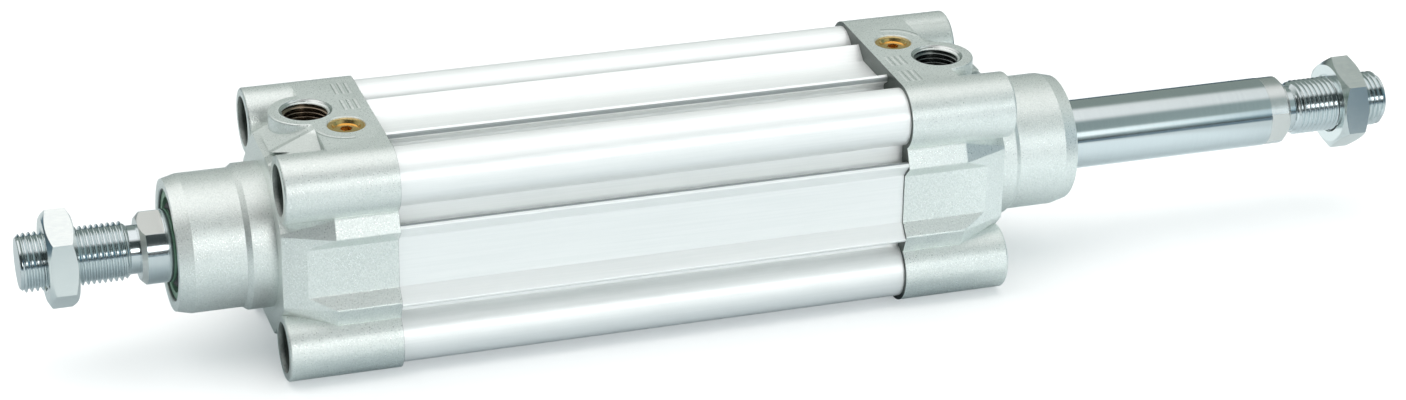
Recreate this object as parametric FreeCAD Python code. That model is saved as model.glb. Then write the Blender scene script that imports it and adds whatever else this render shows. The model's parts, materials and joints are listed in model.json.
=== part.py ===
import FreeCAD
import Part

import math
import os

os.makedirs("parts", exist_ok=True)

Vector = FreeCAD.Vector

# All sizes are millimetres. X runs along the rods, Z is up, and the origin is the centre
# of the left cover's mounting face. The left cover is modelled where it stands, and the
# right one is the same casting turned half a turn about the vertical line through the
# middle of the body. The model stands as in the photograph, with the rods at the right
# hand end of their travel.

# Whole cylinder
bore = 50.0
stroke = 64.0
screw_pitch = 46.5          # square pattern of the four cover screws
rod_diameter = 20.0
rod_reach = 34.2            # mounting face to thread shoulder with that end drawn in

# Fits and clearances, measured on the radius
running_fit = 0.05          # rod in its bearing, stud in the piston
seat_fit = 0.03             # static rings and bushes in their seats
piston_gap = 0.4            # piston rim to barrel
end_gap = 0.3               # bumper to cover at the end of the travel
head_gap = 0.3              # screw head in its recess

# Rod ends
thread_diameter = 16.0
thread_length = 32.0
undercut_length = 2.6
undercut_diameter = 13.2
tip_chamfer = 1.2
shoulder_chamfer = 1.4
rod_end_step = 0.1          # the end behind the shoulder is turned down by this much
rod_end_step_length = 6.8
flats_across = 17.0
flats_length = 6.5
left_flats_angle = 14.0     # from straight up towards the front
right_flats_angle = 104.0

# Rod nuts
nut_across = 24.0
nut_height = 8.0
nut_face_diameter = 22.8
nut_countersink = 0.6
left_nut_from_tip = 11.0    # rod tip to the middle of the nut
right_nut_from_tip = 12.0
left_nut_angle = 21.0       # one flat's direction, from straight up towards the front
right_nut_angle = 20.0

# Barrel extrusion, seen along X as (s, h): s along one side, h outwards from the axis
bar_radius = 8.0
panel_wall = 2.5            # wall between bore and flat panel
panel_half = 7.2
lip_rise = 3.5              # lips stand this far above the panel
lip_crest = 11.3            # s of the lip's crest
lip_edge = 12.2             # s of the lip's edge over the slot
lip_edge_drop = 0.8
lip_root = 9.6              # s of the slot's inner corner
slot_floor_rise = 0.3       # slot floor above the bore's radius
slot_undercut = 2.1         # height of the slot under the lip
lip_fillet = 0.45
tapping_depth = 22.0

# Covers
cover_length = 31.0
cover_bar_radius = 9.25
cover_bar_rounding = 0.7
panel_drop = 4.5            # flat panel below the cover's square outline
cover_lip_drop = 1.2        # lips below the cover's square outline
cover_panel_half = 7.0
cover_lip_crest = 10.4
cover_pad_edge = 15.4       # s where a lip's back slope ends over the bar
pad_edge_drop = 2.1         # from the lip's crest down to that edge
pad_edge_foot = 11.1        # s of the same edge at the mounting face
pad_flank = 6.0             # depth of the flank from that edge into the bar
ramp_foot = 25.2            # h of the ramps at the mounting face
ramp_length = 13.6
pad_fillet = 0.6
boss_fillet = 0.5

# Neck with the mounting pilot
neck_length = 26.0
pilot_diameter = 40.0
pilot_length = 6.5
pilot_step_length = 1.5
neck_diameter = 38.0
neck_mouth_diameter = 36.0
neck_taper_length = 4.0

# Bores inside a cover, from the outside inwards
ring_seat_radius = 15.0
ring_seat_depth = 2.6
ring_mouth_chamfer = 0.6
seal_seat_radius = 14.0
seal_seat_length = 11.0
bearing_radius = 12.0
bearing_length = 21.0
chamber_gap = 2.5           # cushion chamber around the piston's boss
cushion_seat_depth = 2.0
cushion_seat_length = 4.0
mouth_length = 2.0
mouth_gap = 0.8
spigot_length = 20.7
gasket_section = 0.95       # radius of the round ring's section
gasket_from_barrel = 5.0

# Retaining ring, wiper and rod seal
retaining_ring_thickness = 1.7
retaining_ring_inner = 13.0
wiper_length = 5.0
lip_reach = 1.6             # wiper's lip out through the retaining ring
lip_thickness = 1.1
seal_waist = 0.6            # relief behind a sealing lip
seal_groove_depth = 2.4

# Port and cushion screw on a cover's top
port_from_face = 13.95      # port's middle from the mounting face
port_offset = 5.7           # to the back of the cylinder's middle
port_boss_radius = 10.2
port_radius = 6.58          # thread's outer radius, quarter inch pipe
port_depth = 12.0
port_chamfer = 0.7
port_passage_radius = 4.5
cushion_screw_along = 0.72
cushion_screw_offset = -6.7
cushion_screw_radius = 5.1
cushion_screw_below_top = 0.45
cushion_screw_head = 3.4
cushion_screw_travel = 0.4  # rise or fall in one turn
cushion_screw_length = 8.0
screw_ring_section = 0.75
screw_ring_depth = 5.0
needle_shank_radius = 2.8
needle_shank_length = 4.0
needle_length = 2.0
needle_tip_radius = 0.5
orifice_radius = 1.0
socket_across = 3.0
socket_depth = 2.5
socket_rim_radius = 3.4
bypass_radius = 1.0

# Cover screws, each with a female thread for mounting the cylinder
screw_recess_radius = 7.0
screw_below_face = 2.5
screw_head_length = 19.5
screw_shank_radius = 3.0
screw_shank_reach = 18.0    # into the barrel
mounting_thread_radius = 4.0
mounting_thread_depth = 16.0
driver_across = 5.0
driver_depth = 2.5
head_chamfer = 0.6

# Piston, clamped between the two rods on a stud
piston_half_length = 17.5
boss_radius = 14.0
boss_length = 18.0
boss_chamfer = 1.5
stud_radius = 7.0
stud_engagement = 22.0
socket_spare = 2.0
piston_seal_inset = 2.5     # from the piston's end face
piston_seal_length = 4.5
piston_seal_seat = 19.5
wear_ring_half_length = 6.0
wear_ring_seat = 22.9
magnet_half_length = 2.5
magnet_inner = 17.0
bumper_inner = 16.5
bumper_outer = 21.5
bumper_seat_depth = 1.5
bumper_stand = 1.5
stud_ring_section = 0.95

# Places worked out from the sizes above
corner = screw_pitch / 2
cover_half = corner + cover_bar_radius
cover_lip = cover_half - cover_lip_drop
cover_panel = cover_half - panel_drop
pad_edge = cover_lip - pad_edge_drop
pad_fall = pad_edge_drop / (cover_pad_edge - cover_lip_crest)
ramp_rise = cover_lip - ramp_foot
bore_radius = bore / 2
rod_radius = rod_diameter / 2
thread_radius = thread_diameter / 2
spigot_end = cover_length + spigot_length
spigot_radius = bore_radius - running_fit
piston_reach = piston_half_length + bumper_stand + end_gap
piston_seal_start = piston_half_length - piston_seal_inset - piston_seal_length
body_length = 2 * (spigot_end + piston_reach) + stroke
piston_middle = body_length / 2 + stroke / 2
boss_reach = piston_half_length + boss_length
left_shoulder = -rod_reach
right_shoulder = body_length + rod_reach + stroke
seal_seat_start = ring_seat_depth - neck_length
bearing_start = seal_seat_start + seal_seat_length
chamber_start = bearing_start + bearing_length
cushion_seat_start = spigot_end - mouth_length - cushion_seat_length
chamber_radius = boss_radius + chamber_gap
cushion_seat_radius = chamber_radius + cushion_seat_depth
mouth_radius = boss_radius + mouth_gap
port_place = Vector(port_from_face, port_offset, 0)
cushion_screw_place = Vector(cushion_screw_along * cover_length, cushion_screw_offset, 0)
gasket_place = cover_length + gasket_from_barrel
gasket_seat = bore_radius - 2 * (gasket_section + seat_fit)
head_end = screw_below_face + screw_head_length


# Shape helpers
def turned(points):
    outline = [Vector(x, 0, r) for x, r in points]
    face = Part.Face(Part.makePolygon(outline + outline[:1]))
    return face.revolve(Vector(0, 0, 0), Vector(1, 0, 0), 360)


def ring(start, end, outer, inner):
    return turned([(start, inner), (end, inner), (end, outer), (start, outer)])


def round_ring(place, middle_radius, section):
    return Part.makeTorus(middle_radius, section, Vector(place, 0, 0), Vector(1, 0, 0))


def rod_along(start, end, radius, y=0.0, z=0.0):
    return Part.makeCylinder(radius, end - start, Vector(start, y, z), Vector(1, 0, 0))


def upright(place, bottom, top, radius):
    return Part.makeCylinder(radius, top - bottom, Vector(place.x, place.y, bottom))


def upright_turned(place, points):
    outline = [Vector(place.x + r, place.y, z) for r, z in points]
    face = Part.Face(Part.makePolygon(outline + outline[:1]))
    return face.revolve(Vector(place.x, place.y, 0), Vector(0, 0, 1), 360)


def prism(outline, start, end):
    points = [Vector(start, y, z) for y, z in outline]
    face = Part.Face(Part.makePolygon(points + points[:1]))
    return face.extrude(Vector(end - start, 0, 0))


def hexagon(across, angle):
    # Corners in the plane across X, with a flat facing angle degrees forward of straight up
    radius = across / 2 / math.cos(math.radians(30))
    turns = [math.radians(angle + 30 + 60 * k) for k in range(6)]
    return [(-radius * math.sin(t), radius * math.cos(t)) for t in turns]


def four_sides(side):
    # One side's outline, given as (s, h) from one corner to the next, carried round all four
    outline = []
    for y_turn, z_turn in ((0, 1), (-1, 0), (0, -1), (1, 0)):
        for s, h in side:
            outline.append((s * z_turn + h * y_turn, h * z_turn - s * y_turn))
    return outline


def mirrored_side(half):
    return half + [(-s, h) for s, h in reversed(half)]


def at_corners(shape):
    places = [(y, z) for y in (-corner, corner) for z in (-corner, corner)]
    return [shape.translated(Vector(0, y, z)) for y, z in places]


def to_right_end(shape):
    return shape.rotated(Vector(body_length / 2, 0, 0), Vector(0, 0, 1), 180)


def long_edges(shape, keep):
    # Straight edges along X whose y and z pass the test
    found = []
    for edge in shape.Edges:
        first, last = edge.Vertexes[0].Point, edge.Vertexes[-1].Point
        along_x = abs(first.y - last.y) < 1e-4 and abs(first.z - last.z) < 1e-4
        if along_x and edge.Length > 1 and keep(first.y, first.z):
            found.append(edge)
    return found


# Barrel
def barrel_tube():
    start, end = cover_length, body_length - cover_length
    panel = bore_radius + panel_wall
    crest = panel + lip_rise
    floor = bore_radius + slot_floor_rise
    half = [
        (corner, corner),
        (corner - bar_radius / 2, floor),
        (lip_root, floor),
        (lip_root - 0.4, floor + slot_undercut / 2),
        (lip_root, floor + slot_undercut),
        (lip_edge - 0.3, crest - lip_edge_drop - 1.3),
        (lip_edge, crest - lip_edge_drop),
        (lip_crest, crest),
        (panel_half, panel),
    ]
    shell = prism(four_sides(mirrored_side(half)[:-1]), start, end)
    crest_edges = long_edges(shell, lambda y, z: max(abs(y), abs(z)) > crest - lip_edge_drop - 0.1)
    shell = shell.makeFillet(lip_fillet, crest_edges)
    bars = at_corners(rod_along(start, end, bar_radius))
    tube = shell.multiFuse(bars).removeSplitter()
    tapped = rod_along(start, start + tapping_depth, screw_shank_radius + running_fit)
    holes = at_corners(tapped) + at_corners(tapped.translated(Vector(end - start - tapping_depth, 0, 0)))
    return tube.cut([rod_along(start, end, bore_radius)] + holes)


# Covers
def swept_down_ramp(outline, inwards, drop):
    # Outline as (s, h) where the top side's ramp ends, swept down it and past the mounting face
    points = [Vector(ramp_length, s, h) for s, h in outline]
    face = Part.Face(Part.makePolygon(points + points[:1]))
    return face.extrude(Vector(-ramp_length, -inwards, -drop) * (1 + 1 / ramp_length))


def above_ramp(height):
    # Space over the top side's ramp, which is flat in the middle and falls away to the bars
    ridge = cover_pad_edge - (height - pad_edge) / pad_fall
    far = 2 * cover_half
    low = pad_edge - pad_fall * (far - cover_pad_edge)
    half = [(far, far), (far, low), (ridge, height)]
    return swept_down_ramp(mirrored_side(half), 0, ramp_rise)


def beside_ramp():
    # Space between the top side's ramp and its two bars, wider towards the mounting face
    far = 2 * cover_half
    foot = ramp_foot - pad_fall * (pad_edge_foot - cover_lip_crest)
    flank = (cover_pad_edge + pad_flank, pad_edge - pad_flank)
    outline = [(cover_pad_edge, pad_edge), flank, (far, flank[1]), (far, far), (cover_pad_edge, far)]
    space = swept_down_ramp(outline, cover_pad_edge - pad_edge_foot, pad_edge - foot)
    return [space, space.mirror(Vector(0, 0, 0), Vector(0, 1, 0))]


def rounded_pads(pads):
    # Rounds the edges of lips, ramps and panels on every side but the top one
    chosen = []
    for edge in pads.Edges:
        ends = [vertex.Point for vertex in edge.Vertexes]
        heights = sorted(max(abs(p.y), abs(p.z)) for p in ends)
        level = abs(ends[0].x - ends[-1].x) < 1e-3
        at_an_end = level and not 1e-3 < ends[0].x < cover_length - 1e-3
        on_top = all(p.z > abs(p.y) for p in ends)
        in_panel = abs(heights[0] - cover_panel) < 1e-3 and abs(heights[1] - cover_panel) < 1e-3
        on_crest = heights[1] > cover_lip - 1e-3
        if (in_panel or on_crest) and not at_an_end and not on_top:
            chosen.append(edge)
    return pads.makeFillet(pad_fillet, chosen)


def cover_pads():
    # Square block with a recessed panel and a ramp on every side, and a full ramp on top
    half = [
        (cover_pad_edge + pad_flank, pad_edge - pad_flank),
        (cover_pad_edge, pad_edge),
        (cover_lip_crest, cover_lip),
        (cover_panel_half, cover_panel),
    ]
    block = prism(four_sides(mirrored_side(half)), 0, cover_length)
    spaces = [above_ramp(cover_lip)] + beside_ramp()
    turns = [90 * k for k in range(4)]
    axis = Vector(1, 0, 0)
    cutters = [space.rotated(Vector(0, 0, 0), axis, turn) for space in spaces for turn in turns]
    ridge = cover_pad_edge - (cover_half - pad_edge) / pad_fall
    top_half = [(cover_panel_half, cover_panel - 1), (cover_pad_edge, pad_edge), (ridge, cover_half)]
    top_ramp = prism(mirrored_side(top_half), 0, ramp_length)
    top_ramp = top_ramp.cut([above_ramp(cover_half)] + beside_ramp())
    return rounded_pads(block.cut(cutters)).fuse(top_ramp)


def cover_bar():
    edge = cover_bar_rounding
    bar = rod_along(0, cover_length, cover_bar_radius)
    rims = [e for e in bar.Edges if e.BoundBox.XLength < 1e-6 and e.BoundBox.XMax < 1]
    return bar.makeFillet(edge, rims)


def neck_and_spigot():
    pilot = pilot_diameter / 2
    neck = neck_diameter / 2
    return turned([
        (-neck_length, 0),
        (-neck_length, neck_mouth_diameter / 2),
        (neck_taper_length - neck_length, neck),
        (-pilot_length - pilot_step_length, neck),
        (-pilot_length, pilot),
        (cover_length, pilot),
        (cover_length, spigot_radius),
        (spigot_end - 1, spigot_radius),
        (spigot_end, spigot_radius - 1),
        (spigot_end, 0),
    ])


def cover_bores():
    # The stepped hole through the neck, from the wiper's seat to the cushion chamber
    seat = ring_seat_radius
    mouth = ring_mouth_chamfer
    inner = turned([
        (-neck_length - 1, 0),
        (-neck_length - 1, seat + mouth),
        (-neck_length, seat + mouth),
        (mouth - neck_length, seat),
        (seal_seat_start, seat),
        (seal_seat_start, seal_seat_radius),
        (bearing_start, seal_seat_radius),
        (bearing_start, bearing_radius),
        (chamber_start, bearing_radius),
        (chamber_start, chamber_radius),
        (cushion_seat_start, chamber_radius),
        (cushion_seat_start, cushion_seat_radius),
        (cushion_seat_start + cushion_seat_length, cushion_seat_radius),
        (cushion_seat_start + cushion_seat_length, mouth_radius),
        (spigot_end + 1, mouth_radius),
        (spigot_end + 1, 0),
    ])
    groove_half = gasket_section + seat_fit
    groove = ring(gasket_place - groove_half, gasket_place + groove_half, bore_radius + 1, gasket_seat)
    return [inner, groove]


def port_bore():
    top = cover_half
    bottom = top - port_depth
    thread = upright_turned(port_place, [
        (0, bottom),
        (port_radius, bottom),
        (port_radius, top - port_chamfer),
        (port_radius + port_chamfer, top),
        (port_radius + port_chamfer, top + 1),
        (0, top + 1),
    ])
    passage = upright(port_place, chamber_radius / 2, bottom + 0.1, port_passage_radius)
    return [thread, passage]


def cushion_bore():
    top = cover_half
    head_bottom = top - cushion_screw_below_top - cushion_screw_length - cushion_screw_travel
    shank_bottom = head_bottom - needle_shank_length
    x, y = cushion_screw_place.x, cushion_screw_place.y
    stepped = upright_turned(cushion_screw_place, [
        (0, chamber_radius / 2),
        (orifice_radius, chamber_radius / 2),
        (orifice_radius, shank_bottom - 0.6),
        (needle_shank_radius + running_fit, shank_bottom),
        (needle_shank_radius + running_fit, head_bottom),
        (cushion_screw_radius + running_fit, head_bottom),
        (cushion_screw_radius + running_fit, top - 0.3),
        (cushion_screw_radius + running_fit + 0.3, top),
        (cushion_screw_radius + running_fit + 0.3, top + 1),
        (0, top + 1),
    ])
    bypass = rod_along(x, spigot_end + 1, bypass_radius, y, shank_bottom + bypass_radius)
    return [stepped, bypass]


def screw_bores():
    recess = rod_along(-1, head_end, screw_recess_radius)
    through = rod_along(0, cover_length + 1, screw_shank_radius + head_gap)
    return at_corners(recess) + at_corners(through)


def boss_rim(casting):
    # The part of the port boss's top edge that stands clear of the plate
    found = []
    for edge in casting.Edges:
        box = edge.BoundBox
        at_top = box.ZMin > cover_half - 1e-3
        if at_top and box.XLength > 1 and box.XMax < ramp_length + 1e-3:
            found.append(edge)
    return found


def cover():
    top_plate = Part.makeBox(
        cover_length - ramp_length,
        2 * corner,
        cover_half - corner,
        Vector(ramp_length, -corner, corner),
    )
    boss = upright(port_place, corner, cover_half, port_boss_radius)
    bars = at_corners(cover_bar())
    casting = cover_pads().multiFuse(bars + [top_plate, boss, neck_and_spigot()]).removeSplitter()
    casting = casting.makeFillet(boss_fillet, boss_rim(casting))
    return casting.cut(cover_bores() + port_bore() + cushion_bore() + screw_bores())


# What a cover holds
def rod_bearing():
    inner = rod_radius + running_fit
    return ring(bearing_start, chamber_start, bearing_radius - seat_fit, inner)


def retaining_ring():
    end = seal_seat_start - seat_fit
    outer = ring_seat_radius - seat_fit
    return ring(end - retaining_ring_thickness, end, outer, retaining_ring_inner)


def rod_wiper():
    front = seal_seat_start + seat_fit
    back = front + wiper_length
    outer = seal_seat_radius - seat_fit
    lip = rod_radius + running_fit
    lip_front = front - lip_reach
    return turned([
        (back, lip + seal_waist),
        (back, outer),
        (front, outer),
        (front, retaining_ring_inner - head_gap),
        (lip_front, lip + lip_thickness),
        (lip_front, lip),
        (front, lip),
        (front + lip_reach, lip + seal_waist),
    ])


def rod_seal():
    front = seal_seat_start + wiper_length + 2 * seat_fit
    back = bearing_start - seat_fit
    outer = seal_seat_radius - seat_fit
    lip = rod_radius + running_fit
    middle = (outer + lip) / 2
    return turned([
        (front, lip + seal_waist),
        (back - seal_groove_depth, lip + seal_waist),
        (back, lip),
        (back, middle - lip_thickness / 2),
        (back - seal_groove_depth, middle),
        (back, middle + lip_thickness / 2),
        (back, outer),
        (front, outer),
    ])


def cushion_seal():
    start = cushion_seat_start + seat_fit
    end = start + cushion_seat_length - 2 * seat_fit
    outer = cushion_seat_radius - seat_fit
    lip = boss_radius + running_fit
    return turned([
        (start, lip + seal_waist),
        (end - lip_thickness, lip + seal_waist),
        (end, lip),
        (end, outer),
        (start, outer),
    ])


def cover_gasket():
    return round_ring(gasket_place, bore_radius - gasket_section - seat_fit, gasket_section)


def cover_screw():
    head = screw_recess_radius - head_gap
    reach = cover_length + screw_shank_reach
    blank = turned([
        (screw_below_face, 0),
        (screw_below_face, head - head_chamfer),
        (screw_below_face + head_chamfer, head),
        (head_end, head),
        (head_end, screw_shank_radius),
        (reach - head_chamfer, screw_shank_radius),
        (reach, screw_shank_radius - head_chamfer),
        (reach, 0),
    ])
    thread_end = screw_below_face + mounting_thread_depth
    thread = rod_along(screw_below_face - 1, thread_end, mounting_thread_radius)
    driver = prism(hexagon(driver_across, 0), thread_end - 1, thread_end + driver_depth)
    return blank.cut([thread, driver])


def cushion_screw():
    # Brass needle screw: slotted ring on top, groove for its seal ring, shank and needle
    top = cover_half - cushion_screw_below_top
    bottom = top - cushion_screw_length
    groove_middle = top - screw_ring_depth
    groove_half = screw_ring_section + seat_fit
    groove_radius = cushion_screw_radius - 2 * (screw_ring_section + seat_fit)
    shank_bottom = bottom - needle_shank_length
    blank = upright_turned(cushion_screw_place, [
        (0, shank_bottom - needle_length),
        (needle_tip_radius, shank_bottom - needle_length),
        (orifice_radius - running_fit, shank_bottom),
        (needle_shank_radius, shank_bottom),
        (needle_shank_radius, bottom),
        (cushion_screw_radius, bottom),
        (cushion_screw_radius, groove_middle - groove_half),
        (groove_radius, groove_middle - groove_half),
        (groove_radius, groove_middle + groove_half),
        (cushion_screw_radius, groove_middle + groove_half),
        (cushion_screw_radius, top - 0.2),
        (cushion_screw_radius - 0.2, top),
        (socket_rim_radius + 0.5, top),
        (socket_rim_radius, top - 0.8),
        (0, top - 0.8),
    ])
    corners = [Vector(y, z, 0) for y, z in hexagon(socket_across, 0)]
    key_hole = Part.Face(Part.makePolygon(corners + corners[:1])).extrude(Vector(0, 0, socket_depth))
    return blank.cut(key_hole.translated(cushion_screw_place + Vector(0, 0, top - 0.8 - socket_depth)))


def screw_seal_ring():
    height = cover_half - cushion_screw_below_top - screw_ring_depth
    middle = cushion_screw_radius - screw_ring_section - seat_fit
    place = cushion_screw_place + Vector(0, 0, height)
    return Part.makeTorus(middle, screw_ring_section, place, Vector(0, 0, 1))


# Rods
def wrench_flats(shoulder, direction, angle):
    # Two blocks that cut the flats, from the shoulder back along the rod
    cutters = []
    start = min(shoulder, shoulder + direction * flats_length)
    for turn in (0, 180):
        block = Part.makeBox(flats_length, rod_diameter, rod_radius)
        block.translate(Vector(start, -rod_radius, flats_across / 2))
        block.rotate(Vector(0, 0, 0), Vector(1, 0, 0), angle + turn)
        cutters.append(block)
    return cutters


def rod_end(shoulder, direction):
    # Outline of one end as (x, r), from the thread's tip to just inside the shoulder
    tip = shoulder - direction * thread_length
    neck = shoulder - direction * undercut_length
    relief = (thread_diameter - undercut_diameter) / 2
    end_radius = rod_radius - rod_end_step
    return [
        (tip, 0),
        (tip, thread_radius - tip_chamfer),
        (tip + direction * tip_chamfer, thread_radius),
        (neck - direction * relief, thread_radius),
        (neck, undercut_diameter / 2),
        (shoulder, undercut_diameter / 2),
        (shoulder, end_radius - shoulder_chamfer),
        (shoulder + direction * shoulder_chamfer, end_radius),
        (shoulder + direction * rod_end_step_length, end_radius),
        (shoulder + direction * (rod_end_step_length + rod_end_step), rod_radius),
    ]


def left_rod():
    end = piston_middle - boss_reach
    solid = turned(rod_end(left_shoulder, 1) + [(end, rod_radius), (end, 0)])
    socket = rod_along(end - stud_engagement - socket_spare, end + 1, stud_radius + running_fit)
    return solid.cut([socket] + wrench_flats(left_shoulder, 1, left_flats_angle))


def right_rod():
    start = piston_middle + boss_reach
    stud_end = piston_middle - boss_reach - stud_engagement
    solid = turned(rod_end(right_shoulder, -1) + [
        (start, rod_radius),
        (start, stud_radius),
        (stud_end + 1, stud_radius),
        (stud_end, stud_radius - 1),
        (stud_end, 0),
    ])
    return solid.cut(wrench_flats(right_shoulder, -1, right_flats_angle))


def rod_nut(middle, angle):
    start, end = middle - nut_height / 2, middle + nut_height / 2
    corner_radius = nut_across / 2 / math.cos(math.radians(30))
    face = nut_face_diameter / 2
    drop = (corner_radius - face) * math.tan(math.radians(30))
    blank = prism(hexagon(nut_across, angle), start, end)
    rounding = turned([
        (start, 0),
        (start, face),
        (start + drop, corner_radius),
        (end - drop, corner_radius),
        (end, face),
        (end, 0),
    ])
    hole = thread_radius + running_fit
    bored = turned([
        (start - 1, 0),
        (start - 1, hole + nut_countersink),
        (start, hole + nut_countersink),
        (start + nut_countersink, hole),
        (end - nut_countersink, hole),
        (end, hole + nut_countersink),
        (end + 1, hole + nut_countersink),
        (end + 1, 0),
    ])
    return blank.common(rounding).cut(bored)


# Piston. Offsets run from its middle to the left, and the right half is the mirror image
def piston_half():
    rim = bore_radius - piston_gap
    seal_end = piston_seal_start + piston_seal_length
    stud_ring_seat = stud_radius + 2 * (stud_ring_section + seat_fit)
    ring_half = stud_ring_section + seat_fit
    bumper_floor = piston_half_length - bumper_seat_depth
    outline = [
        (0, stud_ring_seat),
        (0, magnet_inner - running_fit),
        (magnet_half_length + seat_fit, magnet_inner - running_fit),
        (magnet_half_length + seat_fit, wear_ring_seat),
        (wear_ring_half_length + seat_fit, wear_ring_seat),
        (wear_ring_half_length + seat_fit, rim),
        (piston_seal_start, rim),
        (piston_seal_start, piston_seal_seat),
        (seal_end, piston_seal_seat),
        (seal_end, rim),
        (piston_half_length, rim),
        (piston_half_length, bumper_outer),
        (bumper_floor, bumper_outer),
        (bumper_floor, bumper_inner),
        (piston_half_length, bumper_inner),
        (piston_half_length, boss_radius),
        (boss_reach - boss_chamfer, boss_radius),
        (boss_reach, boss_radius - boss_chamfer),
        (boss_reach, stud_radius + running_fit),
        (ring_half, stud_radius + running_fit),
        (ring_half, stud_ring_seat),
    ]
    return turned(outline)


def piston_seal():
    start = piston_seal_start + seat_fit
    end = start + piston_seal_length - 2 * seat_fit
    inner = piston_seal_seat + seat_fit
    outer = bore_radius - running_fit
    middle = (inner + outer) / 2
    return turned([
        (start, inner),
        (end, inner),
        (end, middle - lip_thickness / 2),
        (end - seal_groove_depth, middle),
        (end, middle + lip_thickness / 2),
        (end, outer),
        (end - seal_groove_depth, outer - seal_waist),
        (start, outer - seal_waist),
    ])


def bumper():
    start = piston_half_length - bumper_seat_depth + seat_fit
    end = piston_half_length + bumper_stand
    return ring(start, end, bumper_outer - seat_fit, bumper_inner + seat_fit)


def wear_ring():
    inner = wear_ring_seat + seat_fit
    return ring(-wear_ring_half_length, wear_ring_half_length, bore_radius - running_fit, inner)


def magnet_ring():
    outer = wear_ring_seat - running_fit
    return ring(-magnet_half_length, magnet_half_length, outer, magnet_inner)


def stud_ring():
    return round_ring(0, stud_radius + stud_ring_section + seat_fit, stud_ring_section)


def on_left_of_piston(shape):
    turned_round = shape.rotated(Vector(0, 0, 0), Vector(0, 0, 1), 180)
    return turned_round.translated(Vector(piston_middle, 0, 0))


def on_right_of_piston(shape):
    return shape.translated(Vector(piston_middle, 0, 0))


# Every piece under its node's name
def all_pieces():
    pieces = {"barrel_tube": barrel_tube()}
    held_by_cover = {
        "cover": cover(),
        "rod_bearing": rod_bearing(),
        "retaining_ring": retaining_ring(),
        "rod_wiper": rod_wiper(),
        "rod_seal": rod_seal(),
        "cushion_seal": cushion_seal(),
        "cover_gasket": cover_gasket(),
        "cover_screws": Part.makeCompound(at_corners(cover_screw())),
        "cushion_screw": cushion_screw(),
        "cushion_screw_ring": screw_seal_ring(),
    }
    for name, shape in held_by_cover.items():
        pieces["left_" + name] = shape
        pieces["right_" + name] = to_right_end(shape)

    on_piston = {"piston_half": piston_half(), "piston_seal": piston_seal(), "bumper": bumper()}
    for name, shape in on_piston.items():
        pieces["left_" + name] = on_left_of_piston(shape)
        pieces["right_" + name] = on_right_of_piston(shape)
    pieces["wear_ring"] = on_right_of_piston(wear_ring())
    pieces["magnet_ring"] = on_right_of_piston(magnet_ring())
    pieces["stud_ring"] = on_right_of_piston(stud_ring())

    pieces["left_piston_rod"] = left_rod()
    pieces["right_piston_rod"] = right_rod()
    left_tip = left_shoulder - thread_length
    right_tip = right_shoulder + thread_length
    pieces["left_rod_nut"] = rod_nut(left_tip + left_nut_from_tip, left_nut_angle)
    pieces["right_rod_nut"] = rod_nut(right_tip - right_nut_from_tip, right_nut_angle)
    return pieces


for node, piece in all_pieces().items():
    piece.exportStep("parts/" + node + ".step")
    print(node, len(piece.Solids), "solids,", round(piece.Volume), "mm3, valid", piece.isValid())
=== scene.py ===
import json
import math

import bmesh
import bpy
from mathutils import Euler, Matrix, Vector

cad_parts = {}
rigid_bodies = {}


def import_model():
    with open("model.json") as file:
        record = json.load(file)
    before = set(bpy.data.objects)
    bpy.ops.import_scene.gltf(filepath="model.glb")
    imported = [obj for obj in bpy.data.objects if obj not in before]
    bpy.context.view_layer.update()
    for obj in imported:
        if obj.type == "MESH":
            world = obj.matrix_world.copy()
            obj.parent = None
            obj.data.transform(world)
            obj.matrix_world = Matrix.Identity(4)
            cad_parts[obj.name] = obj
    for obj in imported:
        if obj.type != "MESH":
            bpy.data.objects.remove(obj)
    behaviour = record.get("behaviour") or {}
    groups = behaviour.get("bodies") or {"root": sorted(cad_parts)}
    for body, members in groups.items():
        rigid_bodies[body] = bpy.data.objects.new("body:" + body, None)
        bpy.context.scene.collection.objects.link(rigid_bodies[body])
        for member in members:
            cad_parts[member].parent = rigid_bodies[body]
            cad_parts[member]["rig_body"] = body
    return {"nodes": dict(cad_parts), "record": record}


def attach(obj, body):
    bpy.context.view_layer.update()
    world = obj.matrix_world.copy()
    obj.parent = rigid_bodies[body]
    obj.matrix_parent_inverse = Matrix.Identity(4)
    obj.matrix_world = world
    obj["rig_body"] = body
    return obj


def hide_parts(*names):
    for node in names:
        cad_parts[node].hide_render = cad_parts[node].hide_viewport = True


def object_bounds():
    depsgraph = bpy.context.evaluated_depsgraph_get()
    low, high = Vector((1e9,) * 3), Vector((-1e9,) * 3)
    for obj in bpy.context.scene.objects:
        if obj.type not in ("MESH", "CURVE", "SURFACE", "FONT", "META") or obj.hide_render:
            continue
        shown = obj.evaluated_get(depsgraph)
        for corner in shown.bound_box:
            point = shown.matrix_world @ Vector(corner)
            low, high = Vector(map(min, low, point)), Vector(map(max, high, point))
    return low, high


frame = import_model()
cadLow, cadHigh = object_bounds()
mm = 0.001
nodes = frame["nodes"]
print("frame loaded")

# Sizes that several pieces and materials share. X starts at the left cover's mounting face, and
# the offsets of port and cushion screw are to the back on the left cover.
sizes = {
    "body": 206 * mm,
    "cover": 31 * mm,
    "screwOffset": 23.25 * mm,
    "portFromFace": 13.95 * mm,
    "portOffset": 5.7 * mm,
    "cushionFromFace": 22.32 * mm,
    "cushionOffset": -6.7 * mm,
    "leftShoulder": -34.2 * mm,
    "rightShoulder": 304.2 * mm,
    "flatLength": 6.8 * mm,
}
middle = sizes["body"] / 2
coverTop = cadHigh.z


# Shader sums


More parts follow.
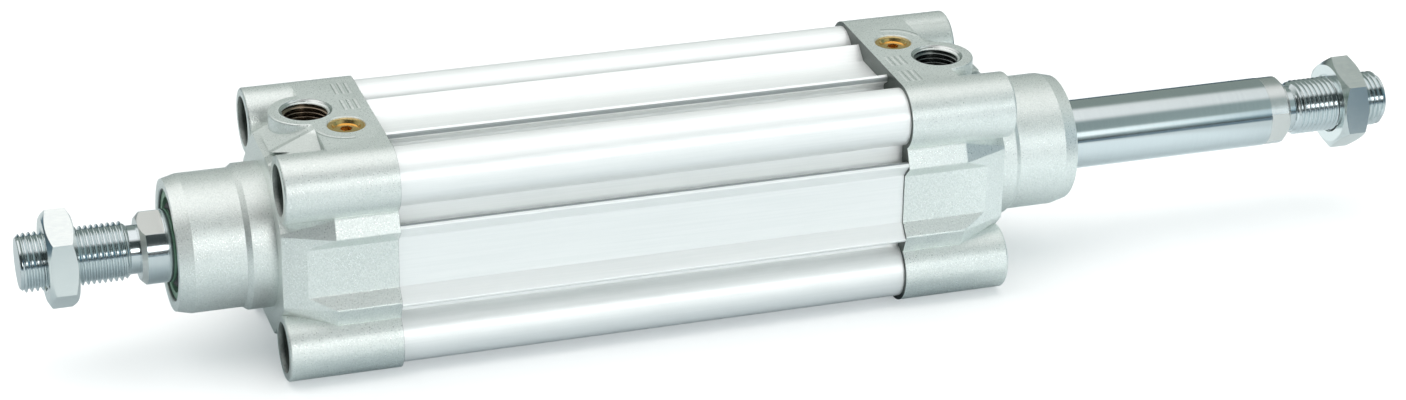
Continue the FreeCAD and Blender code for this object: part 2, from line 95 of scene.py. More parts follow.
class Wire:
    # An output of a node tree that can be used in plain sums
    def __init__(self, board, socket):
        self.board = board
        self.socket = socket

    def __add__(self, other):
        return self.board.math("ADD", self, other)

    def __sub__(self, other):
        return self.board.math("SUBTRACT", self, other)

    def __mul__(self, other):
        return self.board.math("MULTIPLY", self, other)

    def __truediv__(self, other):
        return self.board.math("DIVIDE", self, other)

    def __pow__(self, other):
        return self.board.math("POWER", self, other)

    def __rsub__(self, other):
        return self.board.math("SUBTRACT", other, self)

    __radd__ = __add__
    __rmul__ = __mul__

    def atLeast(self, other):
        return self.board.math("MAXIMUM", self, other)

    def atMost(self, other):
        return self.board.math("MINIMUM", self, other)

    def clamped(self):
        return self.atLeast(0.0).atMost(1.0)

    def size(self):
        return self.board.math("ABSOLUTE", self, 0.0)

    def sign(self):
        return self.board.math("SIGN", self, 0.0)

    def fraction(self):
        return self.board.math("FRACT", self, 0.0)

    def between(self, low, high):
        # 0 below low, 1 above high and a smooth step from one to the other
        return self.board.node(
            "ShaderNodeMapRange",
            {"Value": self, "From Min": low, "From Max": high},
            interpolation_type="SMOOTHSTEP",
        )

    def within(self, low, high, soft):
        # 1 from low to high, with edges that are soft on both sides
        rise = self.between(low - soft, low + soft)
        return rise * (1.0 - self.between(high - soft, high + soft))


class Board:
    # A node tree that takes new nodes
    def __init__(self, tree):
        self.tree = tree

    def node(self, kind, inputs=None, output=0, **settings):
        made = self.tree.nodes.new(kind)
        for name, value in settings.items():
            setattr(made, name, value)
        for name, value in (inputs or {}).items():
            self.join(made.inputs[name], value)
        return Wire(self, made.outputs[output])

    def join(self, socket, value):
        if isinstance(value, Wire):
            self.tree.links.new(value.socket, socket)
        else:
            socket.default_value = value

    def math(self, operation, first, second):
        return self.node("ShaderNodeMath", {0: first, 1: second}, operation=operation)

    def blend(self, factor, first, second):
        # Colour mix: sockets 0, 6 and 7 are the factor and the two colours
        return self.node(
            "ShaderNodeMix",
            {0: factor, 6: first, 7: second},
            output=2,
            data_type="RGBA",
        )

    def parts(self, vector):
        # The three numbers of a vector
        split = self.node("ShaderNodeSeparateXYZ", {"Vector": vector}).socket.node
        return [Wire(self, socket) for socket in split.outputs]

    def ray(self, kind):
        # 1 for light paths of the kind, such as Is Camera Ray
        return self.node("ShaderNodeLightPath", output=kind)


class Paint(Board):
    # A new material with its node tree
    def __init__(self, name):
        self.material = bpy.data.materials.new(name)
        self.material.use_nodes = True
        super().__init__(self.material.node_tree)
        self.shader = self.tree.nodes["Principled BSDF"]
        self.place = self.node("ShaderNodeTexCoord", output="Object")

    def stretched(self, x, y, z):
        # Object coordinates scaled along each axis
        return self.node(
            "ShaderNodeVectorMath",
            {0: self.place, 1: (x, y, z)},
            operation="MULTIPLY",
        )

    def noise(self, size, detail=2.0, roughness=0.5, place=None):
        # Grey noise with spots about size metres across
        return self.node(
            "ShaderNodeTexNoise",
            {
                "Vector": place or self.place,
                "Scale": 1.0 / size,
                "Detail": detail,
                "Roughness": roughness,
            },
            output="Fac",
        )

    def rough(self, height, depth):
        # A bump from a 0 to 1 height, with depth in metres
        return self.node("ShaderNodeBump", {"Height": height, "Distance": depth, "Strength": 1.0})

    def surface(self, **inputs):
        for name, value in inputs.items():
            self.join(self.shader.inputs[name.replace("_", " ")], value)
        return self.material


def grey(value):
    return (value, value, value, 1.0)


def fromAxis(first, second):
    # Distance from an axis, from the two distances across it
    return (first * first + second * second) ** 0.5


# The values of a plain noise between which a tone goes from dark to light
toneRange = (0.3, 0.7)


# Cast alloy of the covers


def coverPlaces(paint, look):
    # Distances on a cover, masks of its worked places and masks of where shade is painted. The covers
    # are half a turn apart, so along runs out from the body's middle and back runs to the side of the
    # port.
    x, y, z = paint.parts(paint.place)
    fromMiddle = x - middle
    side = fromMiddle.sign()
    along = fromMiddle.size()
    back = y * side * -1.0
    depth = coverTop - z

    port = fromAxis(along - (middle - sizes["portFromFace"]), back - sizes["portOffset"])
    inPort = 1.0 - port.between(*look["portRim"])
    inPort = inPort * (z - look["portFloor"]).sign().clamped()
    corner = fromAxis(y.size() - sizes["screwOffset"], z.size() - sizes["screwOffset"])
    recess = (1.0 - corner.between(*look["recessRim"])) * (middle - along).between(*look["recessDepth"])
    mouth = 1.0 - fromAxis(y, z).between(*look["mouthRim"])
    joint = 1.0 - (along - (middle - sizes["cover"])).size().between(*look["jointWidth"])
    low, high = look["rampDepth"]
    ramp = depth.between(*low) * (1.0 - depth.between(*high))
    ramp = ramp * along.between(*look["rampAlong"]) * back.within(*look["rampBack"])
    return {
        "along": along,
        "back": back,
        "depth": depth,
        "onRight": side.clamped(),
        "bored": inPort * depth.between(*look["boreDepth"]),
        "chamfer": inPort * depth.within(*look["chamferDepth"]),
        # Painted shade in the screw recesses and the neck's mouth, with the dark joint line to the tube
        "dark": (recess + mouth + joint).clamped(),
        "ramp": ramp,
    }


def plainMarks(places, look):
    # Two groups of plain bars and an arc on top of each cover, raised and with a painted highlight, and
    # the painted shadow beside them
    along, back = places["along"], places["back"]
    onTop = 1.0 - places["depth"].between(*look["markDepth"])
    start, end = look["barAlong"]
    inGroup = sum(back.within(low, high, look["barSoft"]) for low, high in look["barBack"])
    inGroup = inGroup * along.within(start, end, look["barEndSoft"]) * onTop
    phase = ((along - start) / look["barStep"]).fraction()

    screwAlong = along - (middle - sizes["cushionFromFace"])
    screwBack = back - sizes["cushionOffset"]
    reach = fromAxis(screwAlong, screwBack) - look["arcRadius"]
    onArc = screwAlong.between(*look["arcAlong"]) * (1.0 - screwBack.between(*look["arcBack"])) * onTop
    raisedAndHighlit = inGroup * phase.within(*look["barShare"]) + onArc * reach.within(*look["arcWidth"])
    shadow = inGroup * phase.within(*look["barShadow"]) + onArc * reach.within(*look["arcShadow"])
    return raisedAndHighlit, shadow


def castAlloy(name, look):
    paint = Paint(name)
    places = coverPlaces(paint, look)
    raisedAndHighlit, shadow = plainMarks(places, look)
    bored, chamfer = places["bored"], places["chamfer"]
    grain = paint.noise(look["grain"], detail=3.0, roughness=0.6)
    patches = paint.noise(look["patch"])
    sparkle = paint.noise(look["sparkleGrain"], detail=1.0).between(*look["sparkleRange"])
    pits = 1.0 - paint.noise(look["pitGrain"], detail=1.0).between(*look["pitRange"])
    # The bore's own machined tone, darkened as painted shade of the deep hole
    boreToneAndShade = paint.blend(places["onRight"], look["leftBoreToneAndShade"], look["rightBoreToneAndShade"])

    tone = paint.blend(grain.between(*look["grainRange"]), look["dark"], look["light"])
    tone = paint.blend(patches.between(*look["patchRange"]) * look["patchShare"], tone, look["light"])
    tone = paint.blend(pits * look["pitShare"], tone, look["pitAndShade"])
    tone = paint.blend(sparkle * look["sparkleShare"], tone, look["glint"])
    # Painted shade: the ramp beside the port boss darkened towards the pit tone
    tone = paint.blend(places["ramp"] * look["rampShare"], tone, look["pitAndShade"])
    # Painted highlight on the raised marks and painted shadow beside them
    tone = paint.blend(raisedAndHighlit * look["markShare"], tone, look["glint"])
    tone = paint.blend(shadow * look["markShare"], tone, look["pitAndShade"])
    tone = paint.blend(chamfer, tone, look["cut"])
    tone = paint.blend(bored, tone, boreToneAndShade)
    # Painted shade in the screw recesses and the neck's mouth, and the dark joint line to the tube
    tone = paint.blend(places["dark"], tone, look["hollowShadeAndJoint"])

    machined = (bored + chamfer).clamped()
    roughness = look["roughness"] - sparkle * look["sparklePolish"] + grain * look["grainDull"]
    return paint.surface(
        Base_Color=tone,
        Metallic=look["metallic"] + machined * (1.0 - look["metallic"]),
        Roughness=roughness - machined * look["cutPolish"],
        Normal=paint.rough(grain * (1.0 - machined) + raisedAndHighlit * look["markHeight"], look["depth"]),
    )


castLook = {
    # Tones
    "light": (0.88, 0.92, 0.89, 1.0),
    "dark": (0.74, 0.79, 0.76, 1.0),
    # Random pits, and the tone of the painted shade on the ramp and beside the marks
    "pitAndShade": (0.44, 0.49, 0.46, 1.0),
    "glint": (0.98, 1.0, 0.98, 1.0),
    "cut": (0.80, 0.83, 0.81, 1.0),
    # Bore tones: the port's own tone with painted shade of the deep hole
    "leftBoreToneAndShade": (0.30, 0.24, 0.18, 1.0),
    "rightBoreToneAndShade": (0.24, 0.26, 0.25, 1.0),
    "hollowShadeAndJoint": (0.11, 0.13, 0.12, 1.0),
    # Grain
    "grain": 0.42 * mm,
    "grainRange": (0.32, 0.68),
    "grainDull": 0.1,
    "patch": 3.78 * mm,
    "patchRange": (0.35, 0.75),
    "patchShare": 0.25,
    "sparkleGrain": 0.336 * mm,
    "sparkleRange": (0.60, 0.74),
    "sparkleShare": 0.8,
    "sparklePolish": 0.18,
    "pitGrain": 0.462 * mm,
    "pitRange": (0.30, 0.42),
    "pitShare": 0.20,
    "metallic": 0.80,
    "roughness": 0.34,
    "depth": 0.06 * mm,
    "cutPolish": 0.22,
    # Port with its bore's tone and painted shade, screw recesses and neck's mouth with painted shade,
    # and the dark joint line with the tube
    "portRim": (7.35 * mm, 7.45 * mm),
    "portFloor": 20.0 * mm,
    "boreDepth": (0.7 * mm, 1.4 * mm),
    "chamferDepth": (0.06 * mm, 0.7 * mm, 0.04 * mm),
    "recessRim": (7.05 * mm, 7.15 * mm),
    "recessDepth": (0.3 * mm, 1.6 * mm),
    "mouthRim": (15.2 * mm, 15.4 * mm),
    "jointWidth": (0.03 * mm, 0.06 * mm),
    # Painted shade on the ramp beside the port boss
    "rampDepth": ((0.4 * mm, 1.2 * mm), (8.0 * mm, 10.0 * mm)),
    "rampAlong": (84.0 * mm, 85.0 * mm),
    "rampBack": (-22.5 * mm, -6.0 * mm, 0.4 * mm),
    "rampShare": 0.55,
    # Marks, with a painted highlight and a painted shadow beside them. The bars' shares are parts of
    # their step.
    "markDepth": (0.05 * mm, 0.15 * mm),
    "markShare": 0.8,
    "markHeight": 1.5,
    "barAlong": (74.0 * mm, 79.4 * mm),
    "barBack": ((3.0 * mm, 9.4 * mm), (13.6 * mm, 20.8 * mm)),
    "barSoft": 0.1 * mm,
    "barEndSoft": 0.05 * mm,
    "barStep": 1.8 * mm,
    "barShare": (0.16, 0.54, 0.06),
    "barShadow": (0.66, 0.84, 0.06),
    "arcRadius": 8.4 * mm,
    "arcAlong": (-0.6 * mm, -0.4 * mm),
    "arcBack": (-2.6 * mm, -2.4 * mm),
    "arcWidth": (-0.45 * mm, 0.45 * mm, 0.08 * mm),
    "arcShadow": (0.55 * mm, 1.2 * mm, 0.08 * mm),
}


# Drawn and turned metals


def lipEdges(paint, look):
    # Painted shadow line along the edges of the eight lips over the slots, on all four sides of the
    # tube
    x, y, z = paint.parts(paint.place)
    high = y.size().atLeast(z.size())
    across = y.size().atMost(z.size())
    return across.within(*look["lipAcross"]) * high.between(*look["lipHigh"])


def turnedPlaces(paint, look):
    # The flats and the turned ends behind the two rod threads
    x, y, z = paint.parts(paint.place)
    leftEnd = sizes["leftShoulder"] + sizes["flatLength"]
    rightEnd = sizes["rightShoulder"] - sizes["flatLength"]
    left = x.within(sizes["leftShoulder"], leftEnd, look["turnedSoft"])
    right = x.within(rightEnd, sizes["rightShoulder"], look["turnedSoft"])
    flat = 1.0 - fromAxis(y, z).between(*look["flatRadius"])
    return ((left + right) * flat + right * look["turnedShare"]).clamped()


def drawnMetal(name, look, spots=None):
    # Extruded, turned or ground metal: fine lines along one axis, with faint patches
    patchRange, patchShare, patchDull = (0.35, 0.8), 0.3, 0.06
    paint = Paint(name)
    lines = paint.noise(look["line"], detail=3.0, roughness=0.6, place=paint.stretched(*look["along"]))
    patches = paint.noise(look["patch"])
    tone = paint.blend(lines.between(*toneRange), look["dark"], look["light"])
    tone = paint.blend(patches.between(*patchRange) * patchShare, tone, look["light"])
    roughness = look["roughness"] + (lines - 0.5) * look["spread"] + (patches - 0.5) * patchDull
    if spots:
        where = spots(paint, look)
        # The spots' tone: the matte finish of the rod's turned places, or a painted shadow line on the
        # tube's lip edges
        tone = paint.blend(where * look["spotShare"], tone, look["spot"])
        roughness = roughness + where * (look["spotRoughness"] - look["roughness"])
    return paint.surface(
        Base_Color=tone,
        Metallic=look["metallic"],
        Roughness=roughness,
        Normal=paint.rough(lines, look["depth"]),
    )


tubeLook = {
    "line": 0.6 * mm,
    "along": (0.02, 1.0, 1.0),
    "patch": 30 * mm,
    "light": (0.90, 0.915, 0.905, 1.0),
    "dark": (0.86, 0.88, 0.87, 1.0),
    "metallic": 0.35,
    "roughness": 0.32,
    "spread": 0.10,
    "depth": 0.006 * mm,
    # Painted shadow line at the lip edges
    "spot": (0.22, 0.25, 0.25, 1.0),
    "spotShare": 0.9,
    "spotRoughness": 0.5,
    "lipAcross": (11.95 * mm, 12.25 * mm, 0.04 * mm),
    "lipHigh": (27.5 * mm, 27.7 * mm),
}

rodLook = {
    "line": 0.35 * mm,
    "along": (1.0, 0.03, 0.03),
    "patch": 20 * mm,
    "light": (0.74, 0.80, 0.81, 1.0),
    "dark": (0.71, 0.77, 0.785, 1.0),
    "metallic": 1.0,
    "roughness": 0.12,
    "spread": 0.03,
    "depth": 0.0008 * mm,
    "spot": (0.80, 0.80, 0.77, 1.0),
    "spotShare": 0.9,
    "spotRoughness": 0.36,
    "flatRadius": (9.80 * mm, 9.86 * mm),
    "turnedSoft": 0.01 * mm,
    "turnedShare": 0.6,
}

nutLook = {
    "line": 0.7 * mm,
    "along": (0.4, 1.0, 1.0),
    "patch": 6 * mm,
    "light": (0.88, 0.92, 0.90, 1.0),
    "dark": (0.83, 0.875, 0.865, 1.0),
    "metallic": 1.0,
    "roughness": 0.18,
    "spread": 0.04,
    "depth": 0.0025 * mm,
}

# Dark tones: painted shade of the deep screw recesses the screws sit in
shadedScrewLook = {
    "line": 0.4 * mm,
    "along": (1.0, 1.0, 1.0),
    "patch": 4 * mm,
    "light": (0.40, 0.41, 0.39, 1.0),
    "dark": (0.22, 0.23, 0.22, 1.0),
    "metallic": 1.0,
    "roughness": 0.34,
    "spread": 0.14,
    "depth": 0.01 * mm,
}

brassLook = {
    "line": 0.3 * mm,
    "along": (1.0, 1.0, 0.2),
    "patch": 3 * mm,
    "light": (1.0, 0.74, 0.34, 1.0),
    "dark": (0.86, 0.52, 0.16, 1.0),
    "metallic": 1.0,
    "roughness": 0.20,
    "spread": 0.12,
    "depth": 0.008 * mm,
}

bronzeLook = dict(brassLook, light=(0.55, 0.36, 0.17, 1.0), dark=(0.40, 0.25, 0.11, 1.0), roughness=0.5)
pistonLook = dict(rodLook, light=(0.82, 0.83, 0.84, 1.0), dark=(0.68, 0.69, 0.70, 1.0), roughness=0.3)


# Rubber and plastic


def moulded(name, look):
    # A faint mottle, in tone and in shine
    mottleDull = 0.2
    paint = Paint(name)
    mottle = paint.noise(look["grain"], detail=3.0, roughness=0.55)
    return paint.surface(
        Base_Color=paint.blend(mottle.between(*toneRange), look["dark"], look["light"]),
        Roughness=look["roughness"] + (mottle - 0.5) * mottleDull,
        Normal=paint.rough(mottle, look["depth"]),
    )


greenLook = {
    "grain": 1.2 * mm,
    "light": (0.26, 0.46, 0.31, 1.0),
    "dark": (0.20, 0.39, 0.25, 1.0),
    "roughness": 0.42,
    "depth": 0.01 * mm,
}

sealLook = {
    "grain": 0.6 * mm,
    "light": (0.016, 0.017, 0.017, 1.0),
    "dark": (0.008, 0.009, 0.009, 1.0),
    "roughness": 0.60,
    "depth": 0.02 * mm,
}

cushionLook = dict(sealLook, light=(0.20, 0.33, 0.25, 1.0), dark=(0.14, 0.24, 0.18, 1.0))
bandLook = dict(sealLook, light=(0.14, 0.28, 0.25, 1.0), dark=(0.09, 0.20, 0.18, 1.0))
magnetLook = dict(sealLook, light=(0.08, 0.07, 0.065, 1.0), dark=(0.05, 0.045, 0.04, 1.0))


# One material for each slot of the record, on every CAD node

slotMaterials = {
    "cast_cover": castAlloy("castAlloy", castLook),
    "anodised_tube": drawnMetal("anodisedTube", tubeLook, lipEdges),
    "chromed_rod": drawnMetal("chromedRod", rodLook, turnedPlaces),
    "plated_nut": drawnMetal("platedNut", nutLook),
    "plated_screw": drawnMetal("platedScrew", shadedScrewLook),
    "brass_screw": drawnMetal("brass", brassLook),
    "bronze_bush": drawnMetal("bronze", bronzeLook),
    "piston_alloy": drawnMetal("pistonAlloy", pistonLook),
    "green_ring": moulded("greenRing", greenLook),
    "black_seal": moulded("blackSeal", sealLook),
    "cushion_lip": moulded("cushionLip", cushionLook),
    "wear_band": moulded("wearBand", bandLook),
    "magnet": moulded("bondedMagnet", magnetLook),
}
slotOf = {entry["node"]: entry["material_slot"] for entry in frame["record"]["subparts"]}
for name, node in nodes.items():
    node.data.materials.clear()
    node.data.materials.append(slotMaterials[slotOf[name]])
print("materials made")


# Smooth copies of the CAD pieces that show


def addPiece(name, mesh, body, materialSlot, replaced=None):
    # A piece that rides on a body, in the place of a CAD node where one is named
    piece = bpy.data.objects.new(name, mesh)
    bpy.context.scene.collection.objects.link(piece)
    mesh.materials.clear()
    mesh.materials.append(slotMaterials[materialSlot])
    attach(piece, body)
    if replaced:
        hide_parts(replaced)


def mergedCopy(node):
    # The node's triangles joined into one skin
    seam = 0.002 * mm
    work = bmesh.new()
    work.from_mesh(nodes[node].data)
    bmesh.ops.remove_doubles(work, verts=work.verts, dist=seam)
    return work


def finishedMesh(work, name):
    # The working mesh under its name, and its memory freed
    mesh = bpy.data.meshes.new(name)
    work.to_mesh(mesh)
    work.free()
    return mesh


def shadedMesh(work, name, angle):
    # Smooth shading with hard edges where faces meet at more than angle degrees
    limit = math.radians(angle)
    for face in work.faces:
        face.smooth = True
    for edge in work.edges:
        edge.smooth = edge.is_manifold and edge.calc_face_angle(0.0) < limit
    return finishedMesh(work, name)


# The angle in degrees above which an edge stays hard, for the tube and for each pair of nodes
hardAngles = {"barrel_tube": 24}
pairAngles = {
    "cover": 11,
    "cover_screws": 30,
    "cushion_screw": 30,
    "retaining_ring": 30,
    "rod_wiper": 30,
    "rod_nut": 20,
}
for kind, angle in pairAngles.items():
    hardAngles["left_" + kind] = angle
    hardAngles["right_" + kind] = angle
for node, angle in hardAngles.items():
    mesh = shadedMesh(mergedCopy(node), node + "Skin", angle)
    addPiece(node + "Shown", mesh, nodes[node]["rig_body"], slotOf[node], node)
print("smooth copies made")


# Threads. A thread's side is 1 on a rod and -1 in a bore.


def threadLimit(x, thread):
    # The ridges run out in a 45 degree cone at both ends
    fromStart = thread["startRadius"] + (x - thread["start"]) * thread["side"]
    fromEnd = thread["endRadius"] + (thread["end"] - x) * thread["side"]
    return min(fromStart * thread["side"], fromEnd * thread["side"]) * thread["side"]


def threadMesh(name, thread):
    # A ridge swept round X as a helix, cut off at both ends and closed by a plain wall behind
    weld, sliver = 0.004 * mm, 0.002 * mm
    pitch, start, end = thread["pitch"], thread["start"], thread["end"]
    foot, crest, side = thread["foot"], thread["crest"], thread["side"]
    # The ridge's outline over one turn: share of the pitch, share of the ridge's height
    ridge = (
        (0.0, 0.0),
        (0.20, 0.0),
        (0.27, 0.08),
        (0.52, 0.90),
        (0.58, 1.0),
        (0.67, 1.0),
        (0.73, 0.90),
        (0.96, 0.08),
    )
    # The line starts a turn early and ends late, and what is past the ends is pressed flat below
    turns = int((end - start) / pitch) + 3
    work = bmesh.new()
    line = [
        work.verts.new((start + pitch * (turn - 1 + phase), 0, foot + (crest - foot) * height))
        for turn in range(turns)
        for phase, height in ridge
    ]
    edges = [work.edges.new(pair) for pair in zip(line, line[1:])]
    steps = thread["segments"]
    bmesh.ops.spin(
        work,
        geom=line + edges,
        axis=(1, 0, 0),
        cent=(0, 0, 0),
        dvec=(pitch / steps, 0, 0),
        angle=math.tau,
        steps=steps,
    )
    bmesh.ops.remove_doubles(work, verts=work.verts, dist=weld)
    for vert in work.verts:
        x = min(max(vert.co.x, start), end)
        radius = math.hypot(vert.co.y, vert.co.z)
        wanted = min(radius * side, threadLimit(x, thread) * side) * side
        vert.co = (x, vert.co.y * wanted / radius, vert.co.z * wanted / radius)
    bmesh.ops.remove_doubles(work, verts=work.verts, dist=weld)
    bmesh.ops.dissolve_degenerate(work, edges=work.edges, dist=sliver)
    bmesh.ops.bridge_loops(work, edges=[edge for edge in work.edges if edge.is_boundary])
    bmesh.ops.recalc_face_normals(work, faces=work.faces)
    for face in work.faces:
        face.smooth = True
    return finishedMesh(work, name)


rodThread = {
    "pitch": 1.5 * mm,
    "foot": 7.06 * mm,
    "crest": 7.985 * mm,
    "side": 1,
    "segments": 96,
    "plainRadius": 7.9 * mm,
    "plainMargin": 0.1 * mm,
    "tipRadius": 6.8 * mm,
    "tipInset": 0.001 * mm,
    "neckRadius": 6.62 * mm,
    "neckLength": 2.6 * mm,
    "hardAngle": 24,
}
rodEnds = {
    "left": {"tip": cadLow.x, "shoulder": sizes["leftShoulder"]},
    "right": {"tip": cadHigh.x, "shoulder": sizes["rightShoulder"]},
}


def makeRodEnd(side, end):
    # The rod keeps its CAD skin, with the plain stretch turned down to the thread's foot
    node = side + "_piston_rod"
    work = mergedCopy(node)
    margin = rodThread["plainMargin"]
    first, last = sorted((end["tip"], end["shoulder"]))
    for vert in work.verts:
        radius = math.hypot(vert.co.y, vert.co.z)
        if first + margin < vert.co.x < last - margin and radius > rodThread["plainRadius"]:
            pull = rodThread["foot"] / radius
            vert.co.y *= pull
            vert.co.z *= pull
    skin = shadedMesh(work, node + "Skin", rodThread["hardAngle"])
    addPiece(node + "Shown", skin, "rod", slotOf[node], node)
    inward = 1 if end["tip"] < end["shoulder"] else -1
    tipEnd = end["tip"] + inward * rodThread["tipInset"]
    neckEnd = end["shoulder"] - inward * rodThread["neckLength"]
    thread = dict(rodThread, start=min(tipEnd, neckEnd), end=max(tipEnd, neckEnd))
    radii = (rodThread["tipRadius"], rodThread["neckRadius"])
    thread["startRadius"], thread["endRadius"] = radii if inward > 0 else radii[::-1]
    addPiece(side + "RodThread", threadMesh(side + "RodThread", thread), "rod", slotOf[node])


for side, end in rodEnds.items():
    makeRodEnd(side, end)

portThread = {
    "pitch": 1.337 * mm,
    "foot": 6.60 * mm,
    "crest": 5.80 * mm,
    "side": -1,
    "segments": 72,
    "start": 0.0,
    "end": 11.6 * mm,
    "startRadius": 6.62 * mm,
    "endRadius": 6.62 * mm,
    "belowTop": 11.95 * mm,
}
screwThread = {
    "pitch": 1.25 * mm,
    "foot": 4.02 * mm,
    "crest": 3.35 * mm,
    "side": -1,
    "segments": 48,
    "start": 0.0,
    "end": 9.0 * mm,
    "startRadius": 4.04 * mm,
    "endRadius": 4.04 * mm,
    "fromFace": 2.6 * mm,
}


def placedMesh(name, thread, place, alongZ=False):
    mesh = threadMesh(name, thread)
    if alongZ:
        mesh.transform(Matrix.Rotation(-math.pi / 2, 4, "Y"))
    mesh.transform(Matrix.Translation(place))
    return mesh


portPlaces = {
    "left": (sizes["portFromFace"], sizes["portOffset"]),
    "right": (sizes["body"] - sizes["portFromFace"], -sizes["portOffset"]),
}
for side, (x, y) in portPlaces.items():
    name = side + "PortThread"
    place = (x, y, coverTop - portThread["belowTop"])
    addPiece(name, placedMesh(name, portThread, place, alongZ=True), "barrel", "cast_cover")

screwStarts = {
    "left": screwThread["fromFace"],
    "right": sizes["body"] - screwThread["fromFace"] - screwThread["end"],
}
for side, x in screwStarts.items():
    for number, (y, z) in enumerate(((-1, -1), (-1, 1), (1, -1), (1, 1)), 1):
        name = side + "ScrewThread" + str(number)
        place = (x, y * sizes["screwOffset"], z * sizes["screwOffset"])
        addPiece(name, placedMesh(name, screwThread, place), "barrel", "plated_screw")
print("threads made")


# Camera, worked out from the photograph's own perspective


def makeCamera():
    look = {
        "place": (-0.15989, -0.85034, 0.41627),
        "turn": 0.323745783,
        "tilt": 0.438833758,
        "roll": 0.0182820382,
        "lens": 90.087,
        "sensor": 36,
        "shiftY": -0.0039010,
        "nearest": 0.05,
        "farthest": 50,
    }
    data = bpy.data.cameras.new("camera")
    data.lens = look["lens"]
    data.sensor_width = look["sensor"]
    data.sensor_fit = "HORIZONTAL"
    data.shift_y = look["shiftY"]
    data.clip_start = look["nearest"]
    data.clip_end = look["farthest"]
    camera = bpy.data.objects.new("camera", data)
    bpy.context.scene.collection.objects.link(camera)
    facing = Euler((math.pi / 2 - look["tilt"], 0, -look["turn"])).to_matrix()
    turned = facing @ Matrix.Rotation(look["roll"], 3, "Z")
    camera.matrix_world = Matrix.Translation(look["place"]) @ turned.to_4x4()
    bpy.context.scene.camera = camera


makeCamera()
print("camera set")


# Studio: a pale table in a dim room, with soft boxes overhead, high in front and low in front


def makeTable():
    # The camera sees white paper. All other rays meet a greyer table with a painted shadow under the
    # body and the left rod, and glossy rays meet painted pale light under the right rod and a table
    # nearly black far off where metals mirror it.
    look = {
        "height": cadLow.z - 0.3 * mm,
        "size": 6.0,
        "roughness": 0.95,
        "seen": (0.66, 0.64, 0.63, 1.0),
        "fleck": grey(0.7),
        "fleckSize": 0.4,
        "fleckShare": 0.1,
        "glow": (0.33, 0.36, 0.37, 1.0),
        "bounce": (0.50, 0.54, 0.55, 1.0),
        "far": (0.02, 0.075, 0.115, 1.0),
        "farFrom": (0.34, 0.44),
        "farCentre": (0.08, 0.0, 0.0),
        "shadowBeneath": (0.24, 0.30, 0.33, 1.0),
        "nearAcross": (-0.045, 0.06, 0.03),
        "nearBody": (0.0, sizes["body"], 0.02),
        "nearLeftRod": (-0.10, -0.01, 0.02),
        "leftRodShare": 0.5,
        "lightPoolUnderRod": (0.67, 0.72, 0.74, 1.0),
        "underRightRod": (0.215, 0.32, 0.02),
    }
    work = bmesh.new()
    bmesh.ops.create_grid(work, x_segments=1, y_segments=1, size=look["size"])
    mesh = finishedMesh(work, "table")
    table = bpy.data.objects.new("table", mesh)
    table.location = (0, 0, look["height"])
    bpy.context.scene.collection.objects.link(table)

    paint = Paint("tablePaper")
    seen = paint.ray("Is Camera Ray")
    gloss = paint.ray("Is Glossy Ray")
    flecks = paint.noise(look["fleckSize"])
    x, y, z = paint.parts(paint.place)
    reach = paint.node(
        "ShaderNodeVectorMath",
        {0: paint.place, 1: look["farCentre"]},
        output="Value",
        operation="DISTANCE",
    )
    shadowBeneath = x.within(*look["nearBody"]) + x.within(*look["nearLeftRod"]) * look["leftRodShare"]
    shadowBeneath = y.within(*look["nearAcross"]) * shadowBeneath
    bounce = paint.blend(gloss * reach.between(*look["farFrom"]), look["bounce"], look["far"])
    # Painted shadow on the table under the body and the left rod
    bounce = paint.blend(shadowBeneath, bounce, look["shadowBeneath"])
    # Painted pale light under the right rod, seen only in reflections
    bounce = paint.blend(gloss * x.within(*look["underRightRod"]), bounce, look["lightPoolUnderRod"])
    white = paint.blend(flecks * look["fleckShare"], look["seen"], look["fleck"])
    mesh.materials.append(
        paint.surface(
            Base_Color=paint.blend(seen, bounce, white),
            Emission_Color=paint.blend(seen, grey(0.0), look["glow"]),
            Emission_Strength=1.0,
            Roughness=look["roughness"],
        )
    )


# Wall tones, and where one gives way to the next along the view direction's X, Y or Z
wallLook = {
    "dark": (0.035, 0.045, 0.045, 1.0),
    "right": (0.34, 0.42, 0.42, 1.0),
    "rightFrom": (0.1, 0.5),
    "corner": (0.08, 0.21, 0.29, 1.0),
    "cornerFrom": (0.42, 0.45),
    "cornerTop": (0.36, 0.46),
    "back": (0.26, 0.31, 0.29, 1.0),
    "backFrom": (-0.25, 0.25),
    "foot": (0.02, 0.14),
    "fill": 0.19,
}

# Soft boxes: the light they give, the light that metals mirror, and their edges
overheadBox = {
    "light": 2.5,
    "mirrored": 1.05,
    "frontEdge": (-0.62, -0.26),
    "rightEdge": (0.70, 1.15),
    "across": (-1.0, 1.1, 0.3),
    "foot": (0.3, 0.45),
    "dimFrom": (0.28, 0.60),
    "dim": 0.35,
    "leastHeight": 0.05,
}
highBox = {
    "light": 1.6,
    "mirrored": 0.0,
    "across": (-0.1, 0.5, 0.1),
    "front": (-0.30, -0.46),
    "height": (0.44, 0.88, 0.06),
}
frontBox = {
    "light": 14.0,
    "mirrored": 3.8,
    "across": (-0.02, 0.62, 0.08),
    "front": (-0.55, -0.75),
    "foot": (0.04, 0.16),
    "mirroredLift": 0.10,
    "top": (0.38, 0.50),
    "fadeFrom": (0.22, 0.42),
    "fade": 0.68,
    "mirroredEnd": (0.42, 0.46),
}


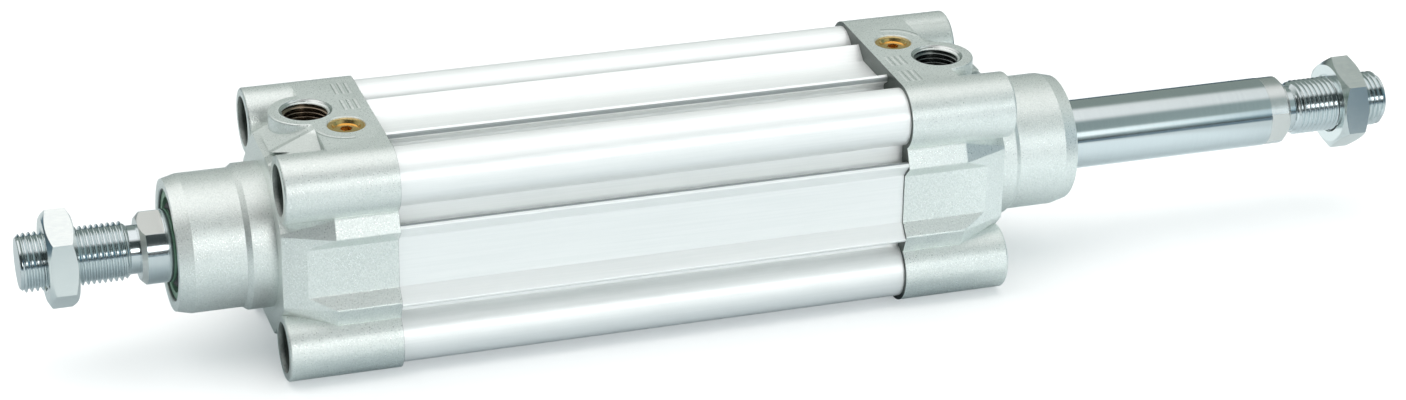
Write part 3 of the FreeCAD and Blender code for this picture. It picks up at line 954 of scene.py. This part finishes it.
def wallTones(room, x, y, z, gloss):
    # Dim behind, nearly black in front on the left, dim on the right and bluish low beyond it
    look = wallLook
    walls = room.blend(x.between(*look["rightFrom"]), look["dark"], look["right"])
    corner = x.between(*look["cornerFrom"]) * (1.0 - z.between(*look["cornerTop"]))
    walls = room.blend(corner, walls, look["corner"])
    walls = room.blend(y.between(*look["backFrom"]), walls, look["back"])
    walls = room.blend(z.between(*look["foot"]), look["dark"], walls)
    return room.blend((1.0 - gloss) * look["fill"], walls, grey(1.0))


def overheadPlace(x, y, z):
    # Its edges are placed by how far they reach at unit height
    box = overheadBox
    height = z.atLeast(box["leastHeight"])
    place = (y / height).between(*box["frontEdge"])
    place = place * (1.0 - ((x + y) / height).between(*box["rightEdge"]))
    place = place * (x / height).within(*box["across"]) * z.between(*box["foot"])
    return place * (1.0 - (x / height).between(*box["dimFrom"]) * box["dim"])


def highPlace(x, y, z):
    box = highBox
    return z.within(*box["height"]) * y.between(*box["front"]) * x.within(*box["across"])


def frontPlace(x, y, z, gloss):
    # Metals mirror it from higher up and less far to the right
    box = frontBox
    lift = gloss * box["mirroredLift"]
    low, high = box["foot"]
    place = z.between(low + lift, high + lift) * (1.0 - z.between(*box["top"]))
    place = place * y.between(*box["front"]) * x.within(*box["across"])
    place = place * (1.0 - x.between(*box["fadeFrom"]) * box["fade"])
    return place * (1.0 - gloss * x.between(*box["mirroredEnd"]))


def makeRoom():
    world = bpy.data.worlds.new("studio")
    bpy.context.scene.world = world
    world.use_nodes = True
    room = Board(world.node_tree)
    x, y, z = room.parts(room.node("ShaderNodeTexCoord", output="Generated"))
    gloss = room.ray("Is Glossy Ray")
    seen = room.ray("Is Camera Ray")

    walls = wallTones(room, x, y, z, gloss)
    overhead, high, front = overheadPlace(x, y, z), highPlace(x, y, z), frontPlace(x, y, z, gloss)
    boxes = 0.0
    for place, box in ((overhead, overheadBox), (front, frontBox), (high, highBox)):
        level = box["light"] - gloss * (box["light"] - box["mirrored"])
        boxes = place * level + boxes
    lit = (overhead + front).clamped()
    background = world.node_tree.nodes["Background"]
    colour = room.blend(lit, walls, grey(1.0))
    room.join(background.inputs["Color"], room.blend(seen, colour, grey(1.0)))
    strength = (boxes + (1.0 - lit)) * (1.0 - seen) + seen
    room.join(background.inputs["Strength"], strength)


makeTable()
makeRoom()
bpy.context.scene.view_settings.view_transform = "Standard"
print("studio made")
